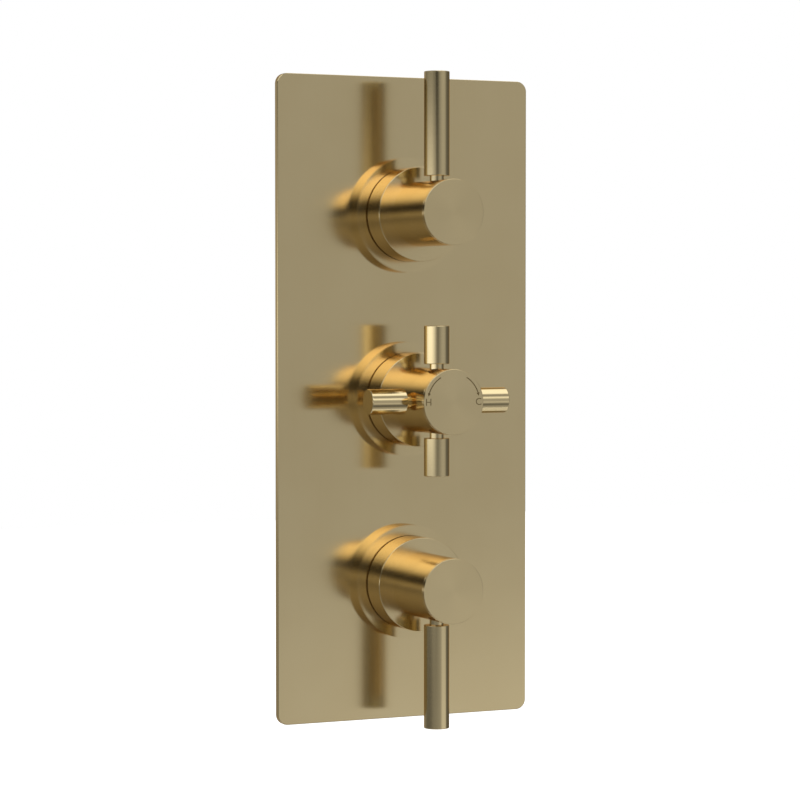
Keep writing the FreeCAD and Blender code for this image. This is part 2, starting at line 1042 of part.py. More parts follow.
def inlet_hollow(angle, gallery_depth):
    """Passage from a gallery, check valve bore and pipe thread of one inlet."""
    passage = block(
        check_bore_start + overshoot,
        inlet_passage_height,
        gallery_depth - inlet_passage_width / 2,
        gallery_depth + inlet_passage_width / 2,
        centre_x=(check_bore_start + overshoot) / 2,
    )
    thread_start = inlet_end - inlet_thread_length
    bore = radial_rod(check_bore_start, thread_start, check_bore_radius, inlet_depth, RIGHT)
    thread = radial_rod(
        thread_start, inlet_end, pipe_thread_minor_radius, inlet_depth, RIGHT
    )
    return at_angle(passage.fuse(bore).fuse(thread), angle)


def thermostatic_body():
    """Centre body: hot water enters at the left, cold at the right, mixed leaves up and down."""
    upper_stub, upper_feed = tube_stub(thermostatic_body_radius, UP)
    lower_stub, lower_feed = tube_stub(thermostatic_body_radius, DOWN)
    inlets = [
        radial_rod(0, inlet_end, inlet_boss_radius, inlet_depth, angle)
        for angle in (LEFT, RIGHT)
    ]
    body = join(boss_and_neck(thermostatic_body_radius), upper_stub, lower_stub, *inlets)
    cuts = [
        upper_feed,
        lower_feed,
        rod(thermostat_bore_floor, neck_front, thermostat_bore),
        rod(mixed_chamber_floor, thermostat_bore_floor, mixed_chamber_radius),
        inlet_hollow(LEFT, hot_gallery_depth),
        inlet_hollow(RIGHT, cold_gallery_depth),
    ]
    return body.cut(cuts)


# ---- Link tubes ------------------------------------------------------------


def link_tube():
    """Tube from the centre body's socket to the upper body's socket."""
    start = thermostatic_body_radius + stub_length - socket_depth + tube_end_gap
    end = station_pitch - (flow_body_radius + stub_length - socket_depth + tube_end_gap)
    return radial_tube(start, end, tube_radius - tube_wall, tube_radius, feed_depth, UP)


def tube_nut(stub_end):
    """Compression nut that draws the olive against a stub that ends at this reach."""
    start = stub_end - nut_engagement
    end = stub_end + nut_overhang
    nut = hexagon(nut_flats, 0, end - start)
    nut.rotate(ORIGIN, ROOM, FLATS_TO_WALL)
    nut.rotate(ORIGIN, V(1, 0, 0), -90)
    nut = nut.translated(V(0, -feed_depth, start))
    inside = stub_radius + thread_clearance
    thread = radial_rod(start, stub_end + olive_length + olive_spare, inside, feed_depth, UP)
    return nut.cut(thread).cut(
        radial_rod(start, end, tube_radius + running_clearance, feed_depth, UP)
    )


def olive(stub_end):
    inner = tube_radius + seal_clearance
    half = stub_end + olive_length / 2
    land = (inner + olive_radius) / 2
    outline = [
        (stub_end + lapped_gap, inner),
        (stub_end + lapped_gap, land),
        (half, olive_radius),
        (stub_end + olive_length, land),
        (stub_end + olive_length, inner),
    ]
    return radial(outline, feed_depth, UP)


def at_tube_ends(make):
    """A fitting at both ends of both link tubes."""
    near = make(thermostatic_body_radius + stub_length)
    far = at_angle(make(flow_body_radius + stub_length), 180).translated(V(0, 0, station_pitch))
    return [near, far, at_angle(near, 180), at_angle(far, 180)]


# ---- Inlet check valves and filters ----------------------------------------


check_start = check_bore_start + check_setback
check_end = check_start + check_length
poppet_front = check_end - check_seat_thickness - lapped_gap
poppet_back = poppet_front - poppet_thickness
guide_start = check_start + check_guide_distance
guide_end = guide_start + check_guide_thickness


def check_housing(angle):
    """Cartridge with its seat at the outer end and a drilled guide inside."""
    shell = radial_tube(
        check_start, check_end, check_inner_radius, check_radius, inlet_depth, RIGHT
    )
    seat = radial_tube(
        check_end - check_seat_thickness, check_end, check_seat_radius, check_radius,
        inlet_depth, RIGHT,
    )
    guide = radial_tube(
        guide_start, guide_end, check_guide_bore, check_radius, inlet_depth, RIGHT
    )
    port_outer = check_inner_radius - check_guide_rim
    port_radius = (port_outer - check_guide_hub) / 2
    port_reach = (port_outer + check_guide_hub) / 2
    for k in range(check_guide_ports):
        port = radial_rod(guide_start, guide_end, port_radius, inlet_depth, RIGHT)
        port = port.translated(V(0, 0, port_reach))
        port.rotate(V(0, -inlet_depth, 0), V(1, 0, 0), 360 / check_guide_ports * k)
        guide = guide.cut(port)
    return at_angle(join(shell, seat, guide), angle)


def check_poppet(angle):
    stem_end = check_start + check_travel
    outline = [
        (stem_end, 0),
        (stem_end, poppet_stem_radius),
        (poppet_back, poppet_stem_radius),
        (poppet_back, poppet_radius),
        (poppet_front, poppet_radius),
        (poppet_front, 0),
    ]
    return radial(outline, inlet_depth, angle)


def check_spring(angle):
    length = poppet_back - guide_end
    spring = coil(check_spring_radius, check_spring_wire, check_spring_turns, length)
    spring.rotate(ORIGIN, V(0, 1, 0), 90)
    return at_angle(spring.translated(V(guide_end, -inlet_depth, 0)), angle)


def inlet_filter(angle):
    """Rim and a disc drilled in rows, between the check valve and the pipe thread."""
    end = check_end + filter_thickness
    rim = radial_tube(
        check_end, end, check_radius - filter_rim, check_radius, inlet_depth, RIGHT
    )
    disc = radial_rod(check_end, check_end + filter_web, check_radius, inlet_depth, RIGHT)
    rows = int((check_radius - filter_rim) / filter_hole_pitch)
    holes = []
    for row in range(-rows, rows + 1):
        for column in range(-rows, rows + 1):
            y, z = row * filter_hole_pitch, column * filter_hole_pitch
            if math.hypot(y, z) + filter_hole_radius < check_radius - filter_rim:
                hole = radial_rod(
                    check_end, check_end + filter_web, filter_hole_radius, inlet_depth, RIGHT
                )
                holes.append(hole.translated(V(0, y, z)))
    return at_angle(join(rim, disc.cut(holes)), angle)


# ---- Write one STEP file per sub-part ----------------------------------------


def at_each(names, solid):
    return [at_station(solid, name) for name in names]


nodes = {
    "faceplate": faceplate(),
    "plate_gasket": plate_gasket(),
    "collar_o_rings": at_each(station, collar_o_ring()),
    "thermostatic_body": thermostatic_body(),
    "upper_flow_body": at_station(flow_body(UP), "upper"),
    "lower_flow_body": at_station(flow_body(DOWN), "lower"),
    "upper_link_tube": link_tube(),
    "lower_link_tube": at_angle(link_tube(), 180),
    "tube_nuts": at_tube_ends(tube_nut),
    "tube_olives": at_tube_ends(olive),
    "fixed_ceramic_discs": at_each(flow_stations, fixed_disc()),
    "disc_seat_seals": at_each(flow_stations, seat_seal()),
    "cartridge_o_rings": at_each(flow_stations, cartridge_o_ring()),
    "spindle_o_rings": at_each(flow_stations, spindle_o_ring(cartridge_nose_front))
    + [spindle_o_ring(thermostat_neck_front)],
    "thermostat_housing": thermostat_housing(),
    "thermostat_retaining_nut": thermostat_retaining_nut(),
    "thermostat_o_rings": thermostat_o_rings(),
    "temperature_stop_ring": temperature_stop_ring(),
    "check_valve_housings": [check_housing(LEFT), check_housing(RIGHT)],
    "inlet_filters": [inlet_filter(LEFT), inlet_filter(RIGHT)],
    "hot_check_poppet": check_poppet(LEFT),
    "cold_check_poppet": check_poppet(RIGHT),
    "hot_check_spring": check_spring(LEFT),
    "cold_check_spring": check_spring(RIGHT),
    "cross_spokes": cross_spokes(),
    "temperature_knob": knob((RIGHT, UP, LEFT, DOWN)),
    "temperature_adaptor": temperature_adaptor(),
    "temperature_spindle": temperature_spindle(),
    "regulator_nut": regulator_nut(),
    "overload_spring": overload_spring(),
    "wax_capsule": wax_capsule(),
    "mixing_shuttle": mixing_shuttle(),
    "return_spring": return_spring(),
}

for name in station:
    nodes[name + "_collar"] = at_station(collar(), name)
    nodes[name + "_sleeve"] = at_station(sleeve(), name)
    nodes[name + "_cap"] = at_station(cap(), name)
    nodes[name + "_handle_screw"] = at_station(handle_screw(), name)

for name, angle in (("upper", UP), ("lower", DOWN)):
    nodes[name + "_knob"] = at_station(knob((angle,)), name)
    nodes[name + "_lever"] = at_station(handle_rod(lever_reach, angle), name)
    nodes[name + "_adaptor"] = at_station(adaptor(), name)
    nodes[name + "_spindle"] = at_station(flow_spindle(), name)
    nodes[name + "_moving_disc"] = at_station(moving_disc(), name)
    nodes[name + "_cartridge_housing"] = at_station(flow_housing(), name)

os.makedirs("parts", exist_ok=True)
for name, made in sorted(nodes.items()):
    solids = made if isinstance(made, list) else [made]
    shape = Part.makeCompound([s for solid in solids for s in solid.Solids])
    if len(shape.Solids) == 1:
        shape = shape.Solids[0]
    shape.exportStep("parts/" + name + ".step")
    print(name, len(shape.Solids), round(shape.Volume, 1), shape.isValid())
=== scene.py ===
import json
import math

import bmesh
import bpy
from mathutils import Matrix, Vector


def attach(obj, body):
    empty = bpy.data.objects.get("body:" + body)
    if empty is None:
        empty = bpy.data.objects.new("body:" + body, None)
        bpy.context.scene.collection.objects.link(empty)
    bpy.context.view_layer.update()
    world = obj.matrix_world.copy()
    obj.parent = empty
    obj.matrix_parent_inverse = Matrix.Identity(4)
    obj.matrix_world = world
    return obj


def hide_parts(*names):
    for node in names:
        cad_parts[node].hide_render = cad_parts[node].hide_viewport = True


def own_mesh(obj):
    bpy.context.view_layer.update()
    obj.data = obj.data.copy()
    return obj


# A concealed thermostatic shower valve with a brushed brass faceplate, two
# lever knobs and a cross handle. The brass that shows is turned and cut again
# here with fine edges, at the sizes of the CAD, and stands for those nodes. The
# pieces in the wall keep their CAD shapes and get their own finishes. Each
# spring gets a mesh of its own.
#
# Everything is in metres: +X right, -Y out of the wall, +Z up. A depth is
# measured out of the wall, so y = -depth.

MM = 0.001

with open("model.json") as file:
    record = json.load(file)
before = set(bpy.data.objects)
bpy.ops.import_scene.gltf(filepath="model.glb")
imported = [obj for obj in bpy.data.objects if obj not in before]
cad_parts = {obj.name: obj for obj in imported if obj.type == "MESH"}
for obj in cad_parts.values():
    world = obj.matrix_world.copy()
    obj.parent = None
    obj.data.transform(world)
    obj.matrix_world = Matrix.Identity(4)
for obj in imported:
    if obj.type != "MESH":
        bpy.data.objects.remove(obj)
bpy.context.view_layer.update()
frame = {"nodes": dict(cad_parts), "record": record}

# ---- Sizes of the visible pieces, in millimetres ---------------------------

plate_width = 132.0
plate_height = 310.0
plate_thickness = 3.0
plate_corner_radius = 5.0
plate_edge_break = 0.3
pocket_depth = 1.2
pocket_rim = 3.0
plate_hole_radius = 20.4

station_pitch = 88.5
stations = {"upper": station_pitch, "temperature": 0.0, "lower": -station_pitch}

collar_radius = 27.5
collar_front = 8.9
collar_bore = 20.05
collar_rim_step = 0.35
collar_groove_radius = 21.9
collar_groove_front = 4.9

knob_back = 9.5
flange_radius = 22.5
flange_front = 23.4
flange_inner_radius = 19.5
flange_floor = 21.0
barrel_radius = 15.4
barrel_front = 56.7
recess_radius = 12.4
web_back = 33.7
web_front = 45.7
knob_face = 58.3
knob_edge_break = 0.22
shadow_step = 0.4
seam_break = 0.15
cap_spigot_length = 3.0
cap_fit = 0.1

rod_depth = 39.7
rod_radius = 6.0
rod_edge_break = 0.3
neck_radius = 3.3
neck_seat_reach = 14.8
rod_start = 17.5
lever_reach = 66.5
spoke_reach = 35.5
stud_radius = 2.5
stud_end = 7.4

round_steps = 160
rod_steps = 96
corner_steps = 16
edge_steps = 3
rounding_steps = 4

# How far a cutter runs past the surface it cuts
cut_past = 1.0

# Corners of a mesh nearer than this, in metres, are one. The CAD meshes are
# coarser.
same_place = 1e-7
cad_same_place = 1e-6

# Edges that turn more than sharp_angle degrees stay hard. So does the rim of a
# flat, where it turns more than rim_angle degrees to a face that is more than
# rim_share times smaller.
sharp_angle = 28
rim_angle = 3
rim_share = 6


# ---- Materials --------------------------------------------------------------


def colour(hex_code):
    """sRGB hex to linear RGBA."""
    channels = [int(hex_code[i : i + 2], 16) / 255 for i in (1, 3, 5)]
    linear = [c / 12.92 if c <= 0.04045 else ((c + 0.055) / 1.055) ** 2.4 for c in channels]
    return (*linear, 1.0)


def add_node(tree, kind, settings=None, **links):
    """Add a node, set its properties, then set or link its inputs. An input goes by
    its name, with _ for a space, or by its number, as i0 or i1."""
    node = tree.nodes.new(kind)
    for name, value in (settings or {}).items():
        setattr(node, name, value)
    for name, value in links.items():
        socket = node.inputs[int(name[1:])] if name[0] == "i" and name[1:].isdigit() else None
        if socket is None:
            socket = node.inputs[name.replace("_", " ")]
        if isinstance(value, bpy.types.NodeSocket):
            tree.links.new(value, socket)
        else:
            socket.default_value = value
    return node


def new_material(name):
    material = bpy.data.materials.new(name)
    material.use_nodes = True
    material.node_tree.nodes.clear()
    return material, material.node_tree


def close_material(tree, shader):
    add_node(tree, "ShaderNodeOutputMaterial", Surface=shader.outputs[0])


def ramp(tree, tone, deep, light, reach):
    """Blend from a deep hex colour to a light one over tones up to reach from 0.5."""
    node = add_node(tree, "ShaderNodeValToRGB", Fac=tone)
    first, last = node.color_ramp.elements
    first.position, first.color = 0.5 - reach, colour(deep)
    last.position, last.color = 0.5 + reach, colour(light)
    return node.outputs["Color"]


# Nearly all values of a noise lie between these
noise_low, noise_high = 0.3, 0.7


def spread(tree, value, middle, uneven):
    """Map a noise value to a range that goes uneven to both sides of middle."""
    return add_node(
        tree,
        "ShaderNodeMapRange",
        i0=value,
        i1=noise_low,
        i2=noise_high,
        i3=middle - uneven,
        i4=middle + uneven,
    ).outputs[0]


def noise(tree, place, size, detail, **settings):
    """Noise whose grains are size mm across, or one unit of place if size is None."""
    scale = 1.0 if size is None else 1 / (size * MM)
    return add_node(
        tree, "ShaderNodeTexNoise", Vector=place, Scale=scale, Detail=detail, **settings
    ).outputs["Fac"]


def mix(tree, share, first, second):
    """Blend two values; share is the second one's."""
    return add_node(
        tree, "ShaderNodeMix", {"data_type": "FLOAT"}, i0=share, i2=first, i3=second
    ).outputs[0]


def calculate(tree, operation, *values, clamp=False):
    """One step of arithmetic on values or sockets."""
    inputs = {f"i{i}": value for i, value in enumerate(values)}
    settings = {"operation": operation, "use_clamp": clamp}
    return add_node(tree, "ShaderNodeMath", settings, **inputs).outputs[0]


# Satin brass, brushed then lacquered. Brushing leaves hair lines along one way,
# 0.05 mm apart on the real one and drawn 0.4 mm apart so that they show close
# up. Reflections blur more across the lines than along them. At a glancing view
# the metal stays yellow, as it does under a tinted lacquer. Lengths are in mm.
brass_light = "#dcca9e"
brass_deep = "#d8c598"
brass_glancing = "#f7dbb8"
brass_roughness = {"upright": 0.138, "turned": 0.155, "ringed": 0.115}
brass_uneven = 0.012
blur_across = {"upright": 0.66, "turned": 0.66, "ringed": 0.0}
quarter_turn = 0.25
hair_line = 0.4
hair_length = 60
hair_depth = 0.01
hair_strength = 0.06
hair_share = 0.35
cloud_size = 35
brass_tones = 0.2


def brass(name, grain, centre=0.0):
    """The hair lines run "upright" on the plate, round the knob axis at height centre
    when "turned", and round each rod when "ringed"."""
    material, tree = new_material(name)
    place = add_node(tree, "ShaderNodeTexCoord").outputs["Object"]
    fine, slow = 1 / (hair_line * MM), 1 / (hair_length * MM)
    if grain == "upright":
        lines_at = add_node(tree, "ShaderNodeMapping", Vector=place, Scale=(fine, fine, slow))
    else:
        centred = add_node(
            tree, "ShaderNodeMapping", Vector=place, Location=(0, 0, -centre * MM)
        )
        split = add_node(tree, "ShaderNodeSeparateXYZ", Vector=centred.outputs[0])
        flat = add_node(tree, "ShaderNodeCombineXYZ", X=split.outputs[0], Z=split.outputs[2])
        radius = add_node(
            tree, "ShaderNodeVectorMath", {"operation": "LENGTH"}, Vector=flat.outputs[0]
        )
        lines_at = add_node(
            tree,
            "ShaderNodeMapping",
            Vector=add_node(
                tree, "ShaderNodeCombineXYZ", X=radius.outputs["Value"], Y=split.outputs[1]
            ).outputs[0],
            Scale=(fine, fine if grain == "turned" else slow, 1),
        )
    lines = noise(tree, lines_at.outputs[0], None, 3.0, Roughness=0.6)
    cloud = noise(tree, place, cloud_size, 2.0)
    tone = mix(tree, hair_share, cloud, lines)
    bump = add_node(
        tree,
        "ShaderNodeBump",
        Height=lines,
        Strength=hair_strength,
        Distance=hair_depth * MM,
    )
    tangent = add_node(
        tree,
        "ShaderNodeTangent",
        {"direction_type": "RADIAL", "axis": "Z" if grain == "upright" else "Y"},
    )
    shader = add_node(
        tree,
        "ShaderNodeBsdfPrincipled",
        Base_Color=ramp(tree, tone, brass_deep, brass_light, brass_tones),
        Metallic=1.0,
        Roughness=spread(tree, lines, brass_roughness[grain], brass_uneven),
        Specular_Tint=colour(brass_glancing),
        Anisotropic=blur_across[grain],
        Anisotropic_Rotation=quarter_turn if grain == "turned" else 0.0,
        Tangent=tangent.outputs[0],
        Normal=bump.outputs[0],
    )
    close_material(tree, shader)
    return material


stain_size = 18
stain_share = 0.5
grain_strength = 0.4
plain_tones = 0.18


def plain_finish(name, light, deep, grain, roughness, metallic=0.0, bump=0.0, uneven=0.05):
    """Moulded, cast or machined finish. Its grain and bump are sizes in mm."""
    material, tree = new_material(name)
    place = add_node(tree, "ShaderNodeTexCoord").outputs["Object"]
    grains = noise(tree, place, grain, 4.0, Roughness=0.6)
    stains = noise(tree, place, stain_size, 2.0)
    tone = mix(tree, 1 - stain_share, stains, grains)
    raised = add_node(
        tree, "ShaderNodeBump", Height=grains, Strength=grain_strength, Distance=bump * MM
    )
    shader = add_node(
        tree,
        "ShaderNodeBsdfPrincipled",
        Base_Color=ramp(tree, tone, deep, light, plain_tones),
        Metallic=metallic,
        Roughness=spread(tree, grains, roughness, uneven),
        Normal=raised.outputs[0],
    )
    close_material(tree, shader)
    return material


plate_brass = brass("satin_brass_plate", "upright")
turned_brass = {
    name: brass(f"satin_brass_{name}", "turned", height) for name, height in stations.items()
}
rod_brass = {
    name: brass(f"satin_brass_{name}_rods", "ringed", height)
    for name, height in stations.items()
}

# Letters engraved through the lacquer and left rough, so they read darker.
engraved_brass = plain_finish(
    "engraved_brass", "#8d7a55", "#7d6b49", 0.2, 0.5, metallic=1.0, bump=0.02
)

# Cast and machined brass of the bodies: yellow, with a fine sand-cast grain.
cast_brass = plain_finish(
    "cast_brass", "#d9b877", "#c8a565", 0.9, 0.36, metallic=1.0, bump=0.06, uneven=0.08
)

# Drawn copper tube: pink-brown, drawn smooth, dulled by handling.
copper_tube = plain_finish(
    "drawn_copper", "#dd9f82", "#c98a6c", 1.4, 0.27, metallic=1.0, bump=0.015, uneven=0.07
)

# Stainless steel for screws, springs and filters: grey, bright.
stainless = plain_finish(
    "stainless_steel", "#cfcdc8", "#bfbdb8", 0.3, 0.24, metallic=1.0, bump=0.01
)

# EPDM rubber seals: near black with a faint bloom.
rubber = plain_finish("epdm_rubber", "#2a2a2a", "#1f1f20", 0.5, 0.62, bump=0.02)

# Closed-cell foam gasket: dark grey with pores of about 0.4 mm.
foam = plain_finish("closed_cell_foam", "#4b4b4c", "#353536", 0.4, 0.85, bump=0.15)

# Alumina discs: fired white ceramic, lapped to a soft gloss.
ceramic = plain_finish("alumina_ceramic", "#f0ede6", "#e8e4dc", 0.4, 0.18, bump=0.004)

# POM and PPS mouldings of the cartridges, with the fine spark grain of a mould.
white_moulding = plain_finish("white_acetal", "#eceae4", "#e2dfd8", 0.35, 0.38, bump=0.02)
black_moulding = plain_finish("black_nylon", "#2c2d2f", "#232426", 0.35, 0.42, bump=0.02)

finish_of_slot = {
    "brushed_brass": plate_brass,
    "plain_brass": cast_brass,
    "copper": copper_tube,
    "stainless_steel": stainless,
    "black_rubber": rubber,
    "foam": foam,
    "ceramic": ceramic,
    "white_plastic": white_moulding,
    "black_plastic": black_moulding,
}


# ---- Shapes -----------------------------------------------------------------


def mark_edges(form):
    """Shade smooth, but keep hard edges and the rims of flats and long sides sharp, so
    that a small rounding doesn't tilt the reflection in the flat next to it."""
    for face in form.faces:
        face.smooth = True
    for edge in form.edges:
        if len(edge.link_faces) != 2:
            edge.smooth = False
            continue
        angle = math.degrees(edge.calc_face_angle())
        areas = sorted(face.calc_area() for face in edge.link_faces)
        rim = angle > rim_angle and areas[1] > rim_share * areas[0]
        edge.smooth = angle < sharp_angle and not rim


def new_mesh(form, name, material):
    """Turn a form into a mesh with one material."""
    mesh = bpy.data.meshes.new(name)
    form.to_mesh(mesh)
    form.free()
    mesh.materials.append(material)
    return mesh


def new_object(name, data):
    """Put a mesh, letter, camera or lamp in the scene as an object."""
    made = bpy.data.objects.new(name, data)
    bpy.context.scene.collection.objects.link(made)
    return made


def finish_mesh(form, name, material):
    """Close the doubles, turn the faces outwards and make the piece's object."""
    bmesh.ops.remove_doubles(form, verts=form.verts, dist=same_place)
    bmesh.ops.dissolve_degenerate(form, edges=form.edges, dist=same_place / 10)
    bmesh.ops.recalc_face_normals(form, faces=form.faces)
    mark_edges(form)
    return new_object(name, new_mesh(form, name, material))


def evaluated_mesh(holder):
    """Mesh of an object as its modifiers or its letter outline make it."""
    bpy.context.view_layer.update()
    depsgraph = bpy.context.evaluated_depsgraph_get()
    return bpy.data.meshes.new_from_object(holder.evaluated_get(depsgraph))


def box_form(width, depth, height):
    """Box round the origin, with sides in mm."""
    form = bmesh.new()
    bmesh.ops.create_cube(form, size=1.0)
    bmesh.ops.scale(form, vec=(width * MM, depth * MM, height * MM), verts=form.verts)
    return form


def edges_along_y(form):
    return [e for e in form.edges if abs(e.verts[0].co.y - e.verts[1].co.y) > MM]


def round_edges(form, edges, radius, steps):
    """Round edges with a radius in mm."""
    bmesh.ops.bevel(
        form,
        geom=edges,
        offset=radius * MM,
        offset_type="OFFSET",
        affect="EDGES",
        segments=steps,
        profile=0.5,
        material=-1,
    )


def draw_out(form, face, length):
    """Draw a face out of the wall, length in mm, and make a bar of it."""
    bar = bmesh.ops.extrude_face_region(form, geom=[face])
    bmesh.ops.translate(
        form,
        vec=OUT * length * MM,
        verts=[v for v in bar["geom"] if isinstance(v, bmesh.types.BMVert)],
    )


def spun(form, outline, steps, axis, centre):
    """Turn an outline of (depth or reach, radius) in mm round an axis through centre.
    An outline that stays off the axis is closed first and makes a ring."""
    side = Vector((0, 0, 1)) if abs(axis.x) > 0.5 else Vector((1, 0, 0))
    ring = [form.verts.new(centre + MM * (axis * along + side * out)) for along, out in outline]
    edges = [form.edges.new(pair) for pair in zip(ring, ring[1:])]
    if outline[0][1] > 0 or outline[-1][1] > 0:
        edges.append(form.edges.new((ring[-1], ring[0])))
    bmesh.ops.spin(
        form,
        geom=ring + edges,
        cent=centre,
        axis=axis,
        angle=2 * math.pi,
        steps=steps,
        use_merge=True,
    )


def rounded(points):
    """Replace each (x, r, rounding) corner of an outline with an arc."""
    out = []
    for i, point in enumerate(points):
        if len(point) == 2 or point[2] == 0:
            out.append(point[:2])
            continue
        corner = Vector(point[:2])
        back = (Vector(points[i - 1][:2]) - corner).normalized()
        ahead = (Vector(points[(i + 1) % len(points)][:2]) - corner).normalized()
        radius = point[2]
        half = back.angle(ahead) / 2
        reach = radius / math.tan(half)
        middle = corner + (back + ahead).normalized() * (radius / math.sin(half))
        start = (corner + back * reach - middle).normalized()
        end = (corner + ahead * reach - middle).normalized()
        for step in range(rounding_steps + 1):
            out.append(tuple(middle + start.slerp(end, step / rounding_steps) * radius))
    return out


def knob_axis(name):
    return Vector((0, 0, stations[name] * MM))


def stand_for(piece, body, slot, *nodes):
    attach(piece, body)
    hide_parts(*nodes)


OUT = Vector((0, -1, 0))
handle_body = {"upper": "top_lever", "temperature": "temperature_handle", "lower": "bottom_lever"}


# ---- Faceplate --------------------------------------------------------------


def plate_form():
    """Plate with rounded corners and a soft front edge."""
    form = box_form(plate_width, plate_thickness, plate_height)
    bmesh.ops.translate(form, vec=(0, -plate_thickness / 2 * MM, 0), verts=form.verts)
    round_edges(form, edges_along_y(form), plate_corner_radius, corner_steps)
    rim = [
        e
        for e in form.edges
        if all(abs(v.co.y + plate_thickness * MM) < same_place for v in e.verts)
    ]
    round_edges(form, rim, plate_edge_break, edge_steps)
    return form


def cut_with(piece, cutter_form, engraved=False):
    """Cut a form out of a piece. An engraved cut gives its own rough finish to the
    faces it makes. Its cutter may cross itself, as an arc and its arrowhead do."""
    mesh = new_mesh(cutter_form, "cutter", engraved_brass)
    cutter = new_object("cutter", mesh)
    cut = piece.modifiers.new("cut", "BOOLEAN")
    cut.operation = "DIFFERENCE"
    cut.solver = "EXACT"
    cut.object = cutter
    cut.material_mode = "TRANSFER" if engraved else "INDEX"
    cut.use_self = engraved
    result = evaluated_mesh(piece)
    piece.modifiers.clear()
    old = piece.data
    piece.data = result
    result.name = old.name
    bpy.data.meshes.remove(old)
    bpy.data.objects.remove(cutter)
    bpy.data.meshes.remove(mesh)


def sharpen(piece):
    """Mark the hard edges again after a cut."""
    form = bmesh.new()
    form.from_mesh(piece.data)
    bmesh.ops.remove_doubles(form, verts=form.verts, dist=same_place)
    mark_edges(form)
    form.to_mesh(piece.data)
    form.free()
    if "custom_normal" in piece.data.attributes:
        piece.data.attributes.remove(piece.data.attributes["custom_normal"])


faceplate = finish_mesh(plate_form(), "brass_faceplate", plate_brass)
holes = bmesh.new()
for height in stations.values():
    spun(
        holes,
        [
            (-cut_past, 0),
            (-cut_past, plate_hole_radius),
            (plate_thickness + cut_past, plate_hole_radius),
            (plate_thickness + cut_past, 0),
        ],
        round_steps,
        OUT,
        Vector((0, 0, height * MM)),
    )
bmesh.ops.recalc_face_normals(holes, faces=holes.faces)
pocket = box_form(
    plate_width - 2 * pocket_rim, 2 * pocket_depth, plate_height - 2 * pocket_rim
)
round_edges(
    pocket, edges_along_y(pocket), plate_corner_radius - pocket_rim, corner_steps // 2
)
cut_with(faceplate, pocket)
cut_with(faceplate, holes)
sharpen(faceplate)
stand_for(faceplate, "valve", "brushed_brass", "faceplate")


# ---- Collars and caps --------------------------------------------------------

for name in stations:
    centre = knob_axis(name)
    collar = bmesh.new()
    spun(
        collar,
        [
            (collar_front, collar_bore),
            (collar_front, collar_radius - collar_rim_step),
            (collar_front - collar_rim_step, collar_radius - collar_rim_step),
            (collar_front - collar_rim_step, collar_radius),
            (plate_thickness, collar_radius),
            (plate_thickness, collar_groove_radius),
            (collar_groove_front, collar_groove_radius),
            (collar_groove_front, collar_bore),
        ],
        round_steps,
        OUT,
        centre,
    )
    piece = finish_mesh(collar, f"brass_collar_{name}", turned_brass[name])
    stand_for(piece, "valve", "brushed_brass", f"{name}_collar")

    cap = bmesh.new()
    spun(
        cap,
        [(barrel_front - cap_spigot_length, 0)]
        + rounded(
            [
                (barrel_front - cap_spigot_length, recess_radius - cap_fit),
                (barrel_front, recess_radius - cap_fit),
                (barrel_front, barrel_radius - seam_break),
                (barrel_front + seam_break, barrel_radius),
                (knob_face, barrel_radius, knob_edge_break),
                (knob_face, 0),
            ]
        ),
        round_steps,
        OUT,
        centre,
    )
    piece = finish_mesh(cap, f"brass_cap_{name}", turned_brass[name])
    stand_for(piece, handle_body[name], "brushed_brass", f"{name}_cap")


# ---- Knobs --------------------------------------------------------------------

spline_teeth = 20
socket_tip = 6.55
socket_root = 6.05
tip_share, root_share = 0.15, 0.35
hub_back = 11.5
hub_radius = 9.0
screw_hole_radius = 2.2
seat_radius = 3.35
stud_hole_radius = 2.55
stud_hole_end = 6.9

RIGHT, UP, LEFT, DOWN = (Vector(v) for v in ((1, 0, 0), (0, 0, 1), (-1, 0, 0), (0, 0, -1)))
rods_of = {
    "upper": {"reach": lever_reach, "ways": [UP]},
    "temperature": {"reach": spoke_reach, "ways": [RIGHT, UP, LEFT, DOWN]},
    "lower": {"reach": lever_reach, "ways": [DOWN]},
}


def spline_cutter(centre):
    """Toothed bar that cuts the socket in a knob's hub."""
    form = bmesh.new()
    points = []
    for tooth in range(spline_teeth):
        for share, radius in (
            (-root_share, socket_root),
            (-tip_share, socket_tip),
            (tip_share, socket_tip),
            (root_share, socket_root),
        ):
            angle = (tooth + share) * 2 * math.pi / spline_teeth
            points.append((radius * math.cos(angle), radius * math.sin(angle)))
    face = form.faces.new(
        [form.verts.new(centre + MM * Vector((x, cut_past - hub_back, z))) for x, z in points]
    )
    draw_out(form, face, web_back - hub_back + cut_past)
    bmesh.ops.recalc_face_normals(form, faces=form.faces)
    return form


def knob_form(centre):
    form = bmesh.new()
    outline = [
        (hub_back, screw_hole_radius),
        (web_front, screw_hole_radius),
        (web_front, recess_radius),
        (barrel_front, recess_radius),
        (barrel_front, barrel_radius - seam_break),
        (barrel_front - seam_break, barrel_radius),
        (flange_front, barrel_radius),
        (flange_front, flange_radius, knob_edge_break),
        (knob_back + shadow_step, flange_radius),
        (knob_back + shadow_step, flange_radius - shadow_step),
        (knob_back, flange_radius - shadow_step),
        (knob_back, flange_inner_radius),
        (flange_floor, flange_inner_radius),
        (flange_floor, recess_radius),
        (web_back, recess_radius),
        (web_back, hub_radius),
        (hub_back, hub_radius),
    ]
    spun(form, rounded(outline), round_steps, OUT, centre)
    return form


